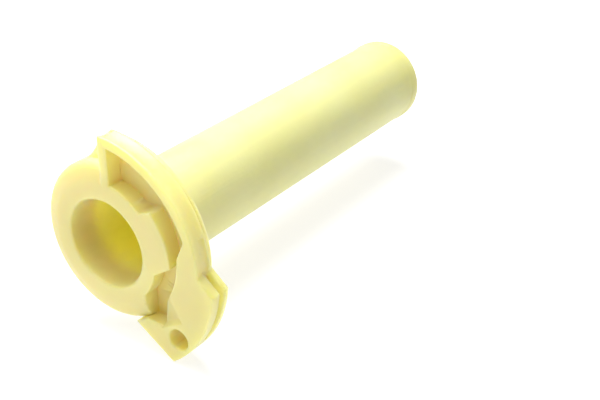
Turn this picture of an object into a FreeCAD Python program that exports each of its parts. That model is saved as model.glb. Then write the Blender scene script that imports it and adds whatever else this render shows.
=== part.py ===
import FreeCAD, Part
import Sketcher
import math
import os

# Throttle tube of a motorcycle: one nylon moulding that slides over the right end of the handlebar.
# The drum at the inboard end winds the throttle cable. The rubber grip is pulled over the sleeve.
#
# Frame, in millimetres: the origin is the centre of the bore's mouth, on the drum's front face.
# +X runs along the tube to its closed outboard end, +Y points forward, +Z points up.
# Angles are in degrees about X, from +Y towards +Z.

SIZES = {
    # sleeve
    "overall_length": 128.0,
    "bore_radius": 11.25,
    "bore_lead_in": 0.6,
    "end_wall": 2.0,
    "sleeve_wall": 1.4,
    "sleeve_radius": "=bore_radius + sleeve_wall",
    "bead_length": 4.6,
    "bead_height": 0.25,
    "end_rounding": 2.5,
    "root_fillet": 1.5,
    # drum
    "drum_depth": 8.3,
    "collar_width": 8.95,
    "collar_radius": "=bore_radius + collar_width",
    "collar_rounding": 2.3,
    "collar_slope": 18.0,
    "collar_slope_width": 4.7,
    "collar_face_radius": "=collar_radius - collar_slope_width",
    "collar_slope_radius": "=collar_radius - collar_rounding * (1 - sin(collar_slope * 1 deg))",
    "collar_slope_depth": "=(collar_slope_radius - collar_face_radius) * tan(collar_slope * 1 deg)",
    "collar_side_start": "=collar_slope_depth + collar_rounding * cos(collar_slope * 1 deg)",
    "collar_end_offset": 11.6,
    "track_rise": 7.8,
    "track_radius": "=collar_radius + track_rise",
    "lip_width": 0.95,
    "lip_height": 0.2,
    "track_width": 4.9,
    "track_land": 0.5,
    "track_hollow": 5.0,
    "track_step": 2.75,
    "back_radius": "=track_radius - track_step",
    "rim_radius": "=back_radius + lip_height",
    "blank_radius": "=track_radius + lip_height",
    "drum_end_angle": 235.0,
    # tail of the drum, behind the fin
    "tail_foot_angle": 57.5,
    "tail_foot_sink": 0.6,
    "tail_hollow_radius": 20.8,
    "tail_corner_angle": 84.0,
    # cored-out cavity between the hub and the cable track
    "cavity_depth": 4.3,
    "cavity_foot_width": 5.2,
    "track_wall": 2.4,
    "track_inside": "=track_radius - track_wall",
    "upper_hub_wall": 5.25,
    "upper_hub_radius": "=bore_radius + upper_hub_wall",
    "lower_hub_wall": 4.05,
    "lower_hub_radius": "=bore_radius + lower_hub_wall",
    "fin_offset": 0.8,
    "fin_thickness": 2.15,
    "fin_far_offset": "=fin_offset + fin_thickness",
    "root_start_angle": 161.0,
    "root_bend_angle": 171.0,
    "root_bend_step": 2.15,
    "root_bend_radius": "=collar_radius + root_bend_step",
    "root_end_angle": 208.0,
    "root_end_step": 0.1,
    "root_curve_step": 6.0,
    # key, the part of the collar that stands into the cavity
    "key_step": 0.4,
    "key_radius": "=collar_radius - key_step",
    "key_root_angle": 134.5,
    "key_start_angle": 139.0,
    "key_end_angle": 180.3,
    "key_foot_angle": 193.0,
    # lug that holds the cable's barrel nipple
    "lug_depth": 5.9,
    "lug_reach": 4.2,
    "lug_radius": "=track_radius + lug_reach",
    "lug_flat_start_angle": 174.3,
    "lug_flat_end_angle": 185.8,
    "lug_tip_angle": 233.5,
    "lug_heel_angle": 246.5,
    "slot_front": 2.7,
    "slot_width": 1.7,
    "slot_start_angle": 162.0,
    "slot_end_angle": 207.0,
    "slot_floor_radius": "=track_radius - track_land",
    "nipple_radius": 2.8,
    "nipple_inset": 2.5,
    "nipple_distance": "=track_radius - nipple_inset + nipple_radius",
    "nipple_angle": 221.5,
    # relief with sloping sides in the lug's face, between the cavity and the nipple's hole
    "relief_depth": 1.2,
    "relief_slope": 50.0,
    "relief_foot_radius": "=nipple_distance - nipple_radius - 1.6",
    "relief_foot_angle": 227.4,
    "relief_tip_radius": "=nipple_distance - 1.6",
    "relief_tip_angle": 211.1,
    "relief_top_radius": "=collar_radius - 0.7",
    "relief_top_angle": 197.0,
    "relief_heel_radius": "=collar_radius - 1.4",
    "relief_heel_angle": 219.6,
    # small edge radii
    "edge_radius": 0.45,
}


def make_sheet(doc):
    """Put every size in a spreadsheet cell with an alias, the derived ones as formulas."""
    sheet = doc.addObject("Spreadsheet::Sheet", "sizes")
    for row, (alias, size) in enumerate(SIZES.items(), start=1):
        sheet.set(f"A{row}", alias)
        sheet.set(f"B{row}", str(size))
        sheet.setAlias(f"B{row}", alias)
    doc.recompute()
    return sheet


def datum(body, role):
    """The body's own origin plane or axis with this role."""
    return next(item for item in body.Origin.OriginFeatures if item.Role == role)


def new_sketch(body, name, role, offset="0"):
    """A sketch on one of the body's origin planes, moved along its normal."""
    sketch = body.newObject("Sketcher::SketchObject", name)
    sketch.AttachmentSupport = [(datum(body, role), "")]
    sketch.MapMode = "FlatFace"
    if offset != "0":
        sketch.setExpression("AttachmentOffset.Base.z", offset)
    return sketch


def polar(radius, angle):
    """A corner at a radius and an angle, as two expressions."""
    return f"({radius}) * cos({angle})", f"({radius}) * sin({angle})"


def arc_centre(start, end, radius, turn):
    """Centre of the arc from start to end that turns left (+1) or right (-1)."""
    middle = (start + end) * 0.5
    chord = end - start
    half = chord.Length / 2
    rise = math.sqrt(max(radius * radius - half * half, 0.0))
    side = FreeCAD.Vector(-chord.y, chord.x, 0).normalize()
    return middle + side * (rise * turn)


def draw_outline(sketch, corners):
    """A closed outline with every corner and radius bound to the sheet.

    Each corner is (x, y) or (x, y, radius, turn): the last two describe the arc that leaves it.
    """
    points = []
    for corner in corners:
        x, y = (float(sketch.evalExpression(text)) for text in corner[:2])
        points.append(FreeCAD.Vector(x, y, 0))
    ends = []
    for index, corner in enumerate(corners):
        start = points[index]
        end = points[(index + 1) % len(points)]
        if len(corner) == 2:
            sketch.addGeometry(Part.LineSegment(start, end), False)
            ends.append((1, 2))
            continue
        radius = float(sketch.evalExpression(corner[2]))
        turn = corner[3]
        centre = arc_centre(start, end, radius, turn)
        first, last = (start, end) if turn > 0 else (end, start)
        angles = [math.atan2(spot.y - centre.y, spot.x - centre.x) for spot in (first, last)]
        circle = Part.Circle(centre, FreeCAD.Vector(0, 0, 1), radius)
        sketch.addGeometry(Part.ArcOfCircle(circle, *angles), False)
        ends.append((1, 2) if turn > 0 else (2, 1))
    for index, corner in enumerate(corners):
        following = (index + 1) % len(corners)
        sketch.addConstraint(
            Sketcher.Constraint("Coincident", index, ends[index][1], following, ends[following][0]))
    for index, corner in enumerate(corners):
        point = points[index]
        place = (index, ends[index][0])
        for kind, size, text in (("DistanceX", point.x, corner[0]), ("DistanceY", point.y, corner[1])):
            number = sketch.addConstraint(Sketcher.Constraint(kind, -1, 1, *place, size))
            sketch.setExpression(f"Constraints[{number}]", text)
        if len(corner) == 4:
            radius = float(sketch.evalExpression(corner[2]))
            number = sketch.addConstraint(Sketcher.Constraint("Radius", index, radius))
            sketch.setExpression(f"Constraints[{number}]", corner[2])
    return sketch


def extrude(body, kind, name, sketch, length):
    """A Pad or a Pocket of the sketch towards +X."""
    feature = body.newObject(f"PartDesign::{kind}", name)
    feature.Profile = sketch
    feature.setExpression("Length", length)
    if kind == "Pocket":
        feature.Reversed = True
    sketch.Visibility = False
    body.Document.recompute()
    return feature


def turn_profile(body, kind, name, sketch):
    """A Revolution or a Groove of the sketch, once round X."""
    feature = body.newObject(f"PartDesign::{kind}", name)
    feature.Profile = sketch
    feature.ReferenceAxis = (datum(body, "X_Axis"), [""])
    feature.Angle = 360.0
    body.Document.recompute()
    return feature


def sleeve_profile(body):
    """Half section of the sleeve, from the drum's neck to the closed end."""
    sketch = new_sketch(body, "sleeve_profile", "XY_Plane")
    neck = "sizes.drum_depth + sizes.root_fillet"
    length, bead = "sizes.overall_length", "sizes.bead_length"
    sleeve, rise, end = "sizes.sleeve_radius", "sizes.bead_height", "sizes.end_rounding"
    return draw_outline(sketch, [
        (neck, "0"),
        (length, "0"),
        (length, f"{sleeve} + {rise} - {end}", end, 1),
        (f"{length} - {end}", f"{sleeve} + {rise}"),
        (f"{length} - {bead}", f"{sleeve} + {rise}"),
        (f"{length} - {bead} - {rise}", sleeve),
        (neck, sleeve),
    ])


def collar_profile(body):
    """Half section of the collar and of the neck that blends into the sleeve."""
    sketch = new_sketch(body, "collar_profile", "XY_Plane")
    collar, side = "sizes.collar_radius", "sizes.collar_side_start"
    depth, root, sleeve = "sizes.drum_depth", "sizes.root_fillet", "sizes.sleeve_radius"
    return draw_outline(sketch, [
        ("0", "0"),
        (f"{depth} + {root}", "0"),
        (f"{depth} + {root}", sleeve, root, -1),
        (depth, f"{sleeve} + {root}"),
        (depth, collar),
        (side, collar, "sizes.collar_rounding", 1),
        ("sizes.collar_slope_depth", "sizes.collar_slope_radius"),
        ("0", "sizes.collar_face_radius"),
    ])


def blind_bore_profile(body):
    """Half section of the sleeve's length of the bore, up to the end wall."""
    sketch = new_sketch(body, "bore_profile", "XY_Plane")
    bore, floor = "sizes.bore_radius", "sizes.overall_length - sizes.end_wall"
    return draw_outline(sketch, [
        ("0", "0"),
        (floor, "0"),
        (floor, bore),
        ("0", bore),
    ])


def mouth_profile(body):
    """Half section of the drum's length of the bore, with the lead-in at its mouth."""
    sketch = new_sketch(body, "mouth_profile", "XY_Plane")
    bore, lead = "sizes.bore_radius", "sizes.bore_lead_in"
    neck = "sizes.drum_depth + sizes.root_fillet"
    return draw_outline(sketch, [
        ("0", "0"),
        (neck, "0"),
        (neck, bore),
        (lead, bore),
        ("0", f"{bore} + {lead}"),
    ])


def drum_outline(body):
    """The drum's sector, before its track is turned: from the fin to the lug's heel."""
    sketch = new_sketch(body, "drum_outline", "YZ_Plane")
    fin, blank = "sizes.fin_offset", "sizes.blank_radius"
    collar, offset = "sizes.collar_radius", "sizes.collar_end_offset"
    return draw_outline(sketch, [
        (f"-{fin}", "sizes.bore_radius"),
        (f"-{fin}", f"sqrt({blank}^2 - {fin}^2)", blank, 1),
        polar(blank, "sizes.drum_end_angle"),
        (f"-{offset}", f"-sqrt({collar}^2 - {offset}^2)"),
        (f"-{offset}", "0"),
    ])


def tail_outline(body):
    """Behind the cavity's floor the drum runs on past the fin and falls in a hollow to the collar."""
    sketch = new_sketch(body, "tail_outline", "YZ_Plane", "sizes.cavity_depth")
    hub, rim, overlap = "sizes.upper_hub_radius", "sizes.rim_radius", "sizes.fin_far_offset"
    foot = polar("sizes.collar_radius - sizes.tail_foot_sink", "sizes.tail_foot_angle")
    return draw_outline(sketch, [
        polar(hub, "sizes.tail_foot_angle"),
        (*foot, "sizes.tail_hollow_radius", -1),
        (*polar(rim, "sizes.tail_corner_angle"), rim, 1),
        (f"-{overlap}", f"sqrt({rim}^2 - {overlap}^2)"),
        (f"-{overlap}", hub),
    ])


def track_profile(body):
    """What is turned off the drum: the track is hollow, and behind it the drum steps in to a lip."""
    sketch = new_sketch(body, "track_profile", "XY_Plane")
    track, outside = "sizes.track_radius", "sizes.blank_radius + 1"
    width, land = "sizes.track_width", "sizes.track_land"
    foot, behind = "sizes.drum_depth - sizes.lip_width", "sizes.drum_depth + 1"
    return draw_outline(sketch, [
        ("-1", track),
        (land, track, "sizes.track_hollow", 1),
        (f"{width} - {land}", track),
        (width, track),
        (foot, "sizes.back_radius"),
        (foot, "sizes.rim_radius"),
        (behind, "sizes.rim_radius"),
        (behind, outside),
        ("-1", outside),
    ])


def lug_outline(body):
    """The lug that stands out below the track, from its top flat to the heel edge."""
    sketch = new_sketch(body, "lug_outline", "YZ_Plane")
    collar, offset = "sizes.collar_radius", "sizes.collar_end_offset"
    return draw_outline(sketch, [
        polar("sizes.back_radius", "sizes.lug_flat_start_angle"),
        (*polar("sizes.lug_radius", "sizes.lug_flat_end_angle"), "sizes.lug_radius", 1),
        polar("sizes.lug_radius", "sizes.lug_tip_angle"),
        (*polar(collar, "sizes.lug_heel_angle"), collar, -1),
        (f"-{offset}", f"-sqrt({collar}^2 - {offset}^2)"),
        (f"-{offset}", "0"),
    ])


def cavity_outline(body):
    """The cavity cored out between the hub and the track, with the key that stands into it."""
    sketch = new_sketch(body, "cavity_outline", "YZ_Plane")
    upper, lower, key = "sizes.upper_hub_radius", "sizes.lower_hub_radius", "sizes.key_radius"
    fin, inner, offset = "sizes.fin_far_offset", "sizes.track_inside", "sizes.collar_end_offset"
    foot = f"sqrt(sizes.collar_radius^2 - {offset}^2)"
    root_end = polar("sizes.collar_radius - sizes.root_end_step", "sizes.root_end_angle")
    return draw_outline(sketch, [
        (f"-{fin}", f"sqrt({upper}^2 - {fin}^2)", upper, 1),
        polar(upper, "sizes.key_root_angle"),
        (*polar(key, "sizes.key_start_angle"), key, 1),
        polar(key, "sizes.key_end_angle"),
        (*polar(lower, "sizes.key_foot_angle"), lower, 1),
        (f"-{offset}", f"-sqrt({lower}^2 - {offset}^2)"),
        (f"-{offset}", f"-{foot}"),
        (f"-({offset} + sizes.cavity_foot_width)", f"-{foot}"),
        (*root_end, "sizes.track_radius - sizes.root_curve_step", -1),
        polar("sizes.root_bend_radius", "sizes.root_bend_angle"),
        (*polar(inner, "sizes.root_start_angle"), inner, -1),
        (f"-{fin}", f"sqrt({inner}^2 - {fin}^2)"),
    ])


def relief_outline(body):
    """Four-sided relief between the cavity and the nipple's hole."""
    sketch = new_sketch(body, "relief_outline", "YZ_Plane")
    corners = ("foot", "tip", "top", "heel")
    return draw_outline(sketch, [
        polar(f"sizes.relief_{corner}_radius", f"sizes.relief_{corner}_angle") for corner in corners])


def slot_outline(body):
    """The cable's slot, from the lug's rim in to the track and the nipple's hole."""
    sketch = new_sketch(body, "slot_outline", "YZ_Plane", "sizes.slot_front")
    track, reach = "sizes.slot_floor_radius", "sizes.lug_radius * 1.2"
    return draw_outline(sketch, [
        polar(track, "sizes.slot_start_angle"),
        polar(reach, "sizes.slot_start_angle"),
        polar(reach, "sizes.slot_end_angle"),
        polar("sizes.nipple_distance + 1", "sizes.nipple_angle"),
        (*polar(track, "sizes.nipple_angle"), track, -1),
    ])


def nipple_outline(body):
    """The hole that takes the cable's barrel nipple, parallel to the bore."""
    sketch = new_sketch(body, "nipple_outline", "YZ_Plane")
    y, z = polar("sizes.nipple_distance", "sizes.nipple_angle")
    centre = FreeCAD.Vector(float(sketch.evalExpression(y)), float(sketch.evalExpression(z)), 0)
    radius = float(sketch.evalExpression("sizes.nipple_radius"))
    sketch.addGeometry(Part.Circle(centre, FreeCAD.Vector(0, 0, 1), radius), False)
    for constraint, text in (
            (Sketcher.Constraint("DistanceX", -1, 1, 0, 3, centre.x), y),
            (Sketcher.Constraint("DistanceY", -1, 1, 0, 3, centre.y), z),
            (Sketcher.Constraint("Radius", 0, radius), "sizes.nipple_radius")):
        number = sketch.addConstraint(constraint)
        sketch.setExpression(f"Constraints[{number}]", text)
    return sketch


def middle(edge):
    return edge.valueAt((edge.FirstParameter + edge.LastParameter) / 2)


def edges_in_plane(shape, depth):
    """Every (name, edge) that lies in the plane at this depth along X."""
    return [(f"Edge{number}", edge) for number, edge in enumerate(shape.Edges, start=1)
            if max(abs(edge.BoundBox.XMin - depth), abs(edge.BoundBox.XMax - depth)) < 0.001]


def round_front(body, sheet):
    """Round the drum's front edges, all but the collar's own rounding and its cut ends."""
    mouth = sheet.bore_radius + sheet.bore_lead_in
    rings = (sheet.collar_radius, sheet.collar_face_radius, mouth)
    walls = (-sheet.collar_end_offset, -sheet.fin_offset)
    names = []
    for name, edge in edges_in_plane(body.Shape, 0):
        place = middle(edge)
        reach = math.hypot(place.y, place.z)
        on_ring = any(abs(reach - ring) < 0.001 for ring in rings)
        on_wall = any(abs(place.y - wall) < 0.001 for wall in walls)
        if not on_ring and not on_wall:
            names.append(name)
    base = body.Tip
    fillet = body.newObject("PartDesign::Fillet", "front_edges")
    fillet.Base = (base, names)
    fillet.setExpression("Radius", "sizes.edge_radius")
    body.Document.recompute()
    return fillet


def make_sleeve(doc):
    """The thin sleeve that the rubber grip is pulled over, closed at its outboard end."""
    body = doc.addObject("PartDesign::Body", "grip_sleeve")
    body.Label = "grip_sleeve"
    turn_profile(body, "Revolution", "sleeve", sleeve_profile(body))
    turn_profile(body, "Groove", "blind_bore", blind_bore_profile(body))
    return body


def make_drum(doc, sheet):
    """The drum with its collar, cable track, cored cavity and lug."""
    body = doc.addObject("PartDesign::Body", "cable_drum")
    body.Label = "cable_drum"
    turn_profile(body, "Revolution", "collar", collar_profile(body))
    extrude(body, "Pad", "drum", drum_outline(body), "sizes.drum_depth")
    extrude(body, "Pad", "tail", tail_outline(body), "sizes.drum_depth - sizes.cavity_depth")
    turn_profile(body, "Groove", "track", track_profile(body))
    extrude(body, "Pad", "lug", lug_outline(body), "sizes.lug_depth")
    extrude(body, "Pocket", "cavity", cavity_outline(body), "sizes.cavity_depth")
    extrude(body, "Pocket", "cable_slot", slot_outline(body), "sizes.slot_width")
    extrude(body, "Pocket", "nipple_hole", nipple_outline(body), "sizes.lug_depth")
    turn_profile(body, "Groove", "bore", mouth_profile(body))
    round_front(body, sheet)
    relief = extrude(body, "Pocket", "relief", relief_outline(body), "sizes.relief_depth")
    relief.setExpression("TaperAngle", "-sizes.relief_slope")
    body.Document.recompute()
    return body


def check(doc, bodies):
    """Stop before writing if any feature failed or any piece isn't one valid solid."""
    for item in doc.Objects:
        bad = {"Invalid", "Error"} & set(item.State)
        if bad:
            raise RuntimeError(f"{item.Name}: {bad}")
    for body in bodies:
        if body.Shape.isNull() or not body.Shape.isValid():
            raise RuntimeError(f"{body.Label}: no valid shape")


def main():
    doc = FreeCAD.newDocument("throttle_tube")
    sheet = make_sheet(doc)
    bodies = [make_sleeve(doc), make_drum(doc, sheet)]
    doc.recompute()
    check(doc, bodies)
    os.makedirs("parts", exist_ok=True)
    for body in bodies:
        body.Shape.exportStep(f"parts/{body.Label}.step")
        print(body.Label, "volume", round(body.Shape.Volume, 1), "box", body.Shape.BoundBox)


main()
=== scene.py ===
import bmesh
import bpy
import math
from mathutils import Matrix, Vector


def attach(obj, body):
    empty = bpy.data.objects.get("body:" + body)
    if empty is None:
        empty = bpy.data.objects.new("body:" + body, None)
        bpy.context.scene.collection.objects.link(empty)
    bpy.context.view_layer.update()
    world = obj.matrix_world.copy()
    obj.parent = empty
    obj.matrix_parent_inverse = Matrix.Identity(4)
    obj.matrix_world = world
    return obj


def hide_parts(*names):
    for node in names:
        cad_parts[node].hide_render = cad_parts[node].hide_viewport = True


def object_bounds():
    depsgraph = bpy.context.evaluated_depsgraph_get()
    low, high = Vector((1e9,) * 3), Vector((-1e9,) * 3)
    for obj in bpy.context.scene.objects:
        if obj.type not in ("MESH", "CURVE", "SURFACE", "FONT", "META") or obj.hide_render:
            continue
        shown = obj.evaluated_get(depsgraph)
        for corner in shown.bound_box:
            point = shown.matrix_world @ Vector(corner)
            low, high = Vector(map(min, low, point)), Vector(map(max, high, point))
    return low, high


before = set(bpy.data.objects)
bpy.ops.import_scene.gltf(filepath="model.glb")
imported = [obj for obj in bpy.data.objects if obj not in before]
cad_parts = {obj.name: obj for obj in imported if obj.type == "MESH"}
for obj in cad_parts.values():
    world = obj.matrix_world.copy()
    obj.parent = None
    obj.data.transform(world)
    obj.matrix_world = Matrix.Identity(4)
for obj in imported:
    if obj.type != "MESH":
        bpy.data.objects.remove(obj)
cad_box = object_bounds()

# The moulding: drum, collar, lug and closed sleeve, shot in one piece in natural nylon.
# The resin is cream yellow and lets some light through, so thin walls glow and deep
# cavities turn a stronger yellow. The skin is waxy, with faint flow marks.
nylon = bpy.data.materials.new("natural_nylon")
nylon.use_nodes = True
tree = nylon.node_tree
tree.nodes.clear()


def node(kind, **settings):
    """Add one shader node and set its properties and unlinked inputs."""
    made = tree.nodes.new(kind)
    for name, setting in settings.items():
        if name in made.inputs:
            made.inputs[name].default_value = setting
        else:
            setattr(made, name, setting)
    return made


def link(source, out, target, into):
    """Join an output of one node to an input of another."""
    tree.links.new(source.outputs[out], target.inputs[into])


place = node("ShaderNodeTexCoord")


def noise(scale, detail, roughness, source=place, out="Object"):
    """Add a cloudy pattern, fixed to the moulding, with scale in repeats per metre."""
    pattern = node("ShaderNodeTexNoise", Scale=scale, Detail=detail, Roughness=roughness)
    link(source, out, pattern, "Vector")
    return pattern


def spread(pattern, out, band, result):
    """Map a pattern's values, from one end of band to the other, onto the ends of result."""
    ends = {"From Min": band[0], "From Max": band[1], "To Min": result[0], "To Max": result[1]}
    made = node("ShaderNodeMapRange", **ends)
    link(pattern, out, made, "Value")
    return made


def tint(base, out, colour, mask, mask_out):
    """Lay a colour over the base, as strongly as the mask says."""
    made = node("ShaderNodeMix", data_type="RGBA")
    made.inputs["B"].default_value = colour
    link(mask, mask_out, made, "Factor")
    link(base, out, made, "A")
    return made


def bump(pattern, strength, height):
    """Raise the skin by a noise pattern, with its height in metres."""
    made = node("ShaderNodeBump", Strength=strength, Distance=height)
    link(pattern, "Fac", made, "Height")
    return made


# The resin's colour drifts slowly between a stronger and a paler cream.
drift = noise(scale=38.0, detail=3.0, roughness=0.55)
resin = node("ShaderNodeValToRGB")
strong_cream, pale_cream = resin.color_ramp.elements
strong_cream.position = 0.32
strong_cream.color = (0.80, 0.72, 0.26, 1)
pale_cream.position = 0.70
pale_cream.color = (0.85, 0.775, 0.32, 1)
link(drift, "Fac", resin, "Fac")

# Flow lines run along the sleeve, drawn out by the way the resin filled the mould.
flow_stretch = (0.12, 1.0, 1.0)
flow_colour = (0.80, 0.68, 0.30, 1)
stretch = node("ShaderNodeMapping", Scale=flow_stretch)
link(place, "Object", stretch, "Vector")
flow = noise(scale=260.0, detail=4.0, roughness=0.6, source=stretch, out="Vector")
flow_mask = spread(flow, "Fac", band=(0.35, 0.75), result=(0.0, 0.16))
streaked = tint(resin, "Color", flow_colour, flow_mask, "Result")

# A few tiny dark specks sit in the resin. They lie in the cells of a scattered pattern,
# most of which are left clean.
clean_share = 0.78
speck_colour = (0.30, 0.24, 0.12, 1)
cells = node("ShaderNodeTexVoronoi", Scale=55.0, Randomness=1.0)
link(place, "Object", cells, "Vector")
speck_dot = spread(cells, "Distance", band=(0.012, 0.03), result=(0.55, 0.0))
cell_number = node("ShaderNodeSeparateColor")
link(cells, "Color", cell_number, "Color")
speck_pick = node("ShaderNodeMath", operation="GREATER_THAN")
speck_pick.inputs[1].default_value = clean_share
link(cell_number, "Red", speck_pick, 0)
speck_mask = node("ShaderNodeMath", operation="MULTIPLY")
link(speck_dot, "Result", speck_mask, 0)
link(speck_pick, "Value", speck_mask, 1)
coloured = tint(streaked, "Result", speck_colour, speck_mask, "Value")

# The skin's polish varies a little from place to place.
polish = noise(scale=140.0, detail=5.0, roughness=0.6)
gloss = spread(polish, "Fac", band=(0.3, 0.7), result=(0.40, 0.56))

# The mould leaves a very fine orange peel, over wide and shallow sinks.
peel = bump(noise(scale=900.0, detail=2.0, roughness=0.5), strength=0.10, height=0.0002)
sink = bump(noise(scale=70.0, detail=2.0, roughness=0.5), strength=0.16, height=0.0008)
link(peel, "Normal", sink, "Normal")

# Light goes into the resin and out again, red the furthest and blue the least.
shader = node("ShaderNodeBsdfPrincipled", subsurface_method="RANDOM_WALK")
shader.inputs["Subsurface Weight"].default_value = 1.0
shader.inputs["Subsurface Radius"].default_value = (1.0, 0.85, 0.30)
shader.inputs["Subsurface Scale"].default_value = 0.0055
shader.inputs["IOR"].default_value = 1.5
shader.inputs["Specular IOR Level"].default_value = 0.85
link(coloured, "Result", shader, "Base Color")
link(gloss, "Result", shader, "Roughness")
link(sink, "Normal", shader, "Normal")
surface = node("ShaderNodeOutputMaterial")
link(shader, "BSDF", surface, "Surface")

# Drum and sleeve are one shot of resin, so their two solids are fused into one skin here.
# No joint line shows inside the bore or behind the drum.
weld_distance = 0.000002
crease_angle = math.radians(32)
halves = []
for name in ("cable_drum", "grip_sleeve"):
    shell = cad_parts[name].data.copy()
    shell.materials.clear()
    skin = bmesh.new()
    skin.from_mesh(shell)
    bmesh.ops.remove_doubles(skin, verts=skin.verts, dist=weld_distance)
    skin.to_mesh(shell)
    skin.free()
    half = bpy.data.objects.new(name + "_half", shell)
    bpy.context.scene.collection.objects.link(half)
    halves.append(half)
drum_half, sleeve_half = halves
fuse = drum_half.modifiers.new("fuse", "BOOLEAN")
fuse.operation = "UNION"
fuse.solver = "EXACT"
fuse.object = sleeve_half
depsgraph = bpy.context.evaluated_depsgraph_get()
fused = bpy.data.meshes.new_from_object(drum_half.evaluated_get(depsgraph))
for half in halves:
    bpy.data.objects.remove(half)
fused.name = "throttle_tube"
fused.set_sharp_from_angle(angle=crease_angle)
fused.materials.clear()
fused.materials.append(nylon)
moulding = bpy.data.objects.new("throttle_tube", fused)
bpy.context.scene.collection.objects.link(moulding)
for face in fused.polygons:
    face.use_smooth = True
even = moulding.modifiers.new("even_shading", "WEIGHTED_NORMAL")
even.keep_sharp = True
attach(moulding, "root")
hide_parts("cable_drum", "grip_sleeve")

# The floor: a wide, flat sheet of matt white card, just below the drum's lowest point.
# It gives off some light of its own, so that it shows as plain white.
floor_width = 6.0
floor_gap = 0.0002
lowest_corner = cad_box[0]
floor_place = (0, 0, lowest_corner.z - floor_gap)
bpy.ops.mesh.primitive_plane_add(size=floor_width, location=floor_place)
floor = bpy.context.object
floor.name = "floor"
white = bpy.data.materials.new("white_card")
white.use_nodes = True
card = white.node_tree.nodes["Principled BSDF"]
card.inputs["Base Color"].default_value = (0.35, 0.35, 0.35, 1)
card.inputs["Roughness"].default_value = 0.9
card.inputs["Emission Color"].default_value = (1.0, 1.0, 1.0, 1)
card.inputs["Emission Strength"].default_value = 0.76
floor.data.materials.append(white)

# Studio light: a dim, even surround, with a large soft box overhead. A small one, high in
# front of the drum, lights the bore through its mouth.
world = bpy.data.worlds.new("studio")
bpy.context.scene.world = world
world.use_nodes = True
surround = world.node_tree.nodes["Background"]
surround.inputs["Color"].default_value = (1.0, 1.0, 1.0, 1)
surround.inputs["Strength"].default_value = 0.25


def soft_box(name, position, aim, size, power):
    """Hang a square light of a size in metres and a power in watts, turned towards aim."""
    lamp = bpy.data.lights.new(name, "AREA")
    lamp.shape = "SQUARE"
    lamp.size = size
    lamp.energy = power
    holder = bpy.data.objects.new(name, lamp)
    bpy.context.scene.collection.objects.link(holder)
    holder.location = position
    holder.rotation_mode = "QUATERNION"
    holder.rotation_quaternion = (Vector(aim) - Vector(position)).to_track_quat("-Z", "Y")


soft_box("overhead_box", position=(0.11, 0.15, 0.60), aim=(0.05, 0.0, 0.0), size=0.45, power=7.6)
soft_box("mouth_light", position=(-0.24, 0.02, 0.52), aim=(0.0, 0.0, 0.0), size=0.26, power=0.8)

# The camera: level, above and in front of the drum's open end, looking along the tube.
# Its place and its directions are in the object's own axes.
camera_place = (-0.144371, -0.156494, 0.123742)
right = Vector((0.572, -0.820, 0.0)).normalized()
ahead = Vector((0.722, 0.504, -0.474)).normalized()
up = right.cross(ahead).normalized()
right = ahead.cross(up).normalized()
turn = Matrix((right, up, -ahead)).transposed().to_4x4()
lens = bpy.data.cameras.new("view")
lens.sensor_width = 36.0
lens.lens = 61.96
lens.clip_start = 0.01
lens.clip_end = 20.0
view = bpy.data.objects.new("view", lens)
bpy.context.scene.collection.objects.link(view)
view.matrix_world = Matrix.Translation(camera_place) @ turn
bpy.context.scene.camera = view
bpy.context.scene.view_settings.view_transform = "Standard"
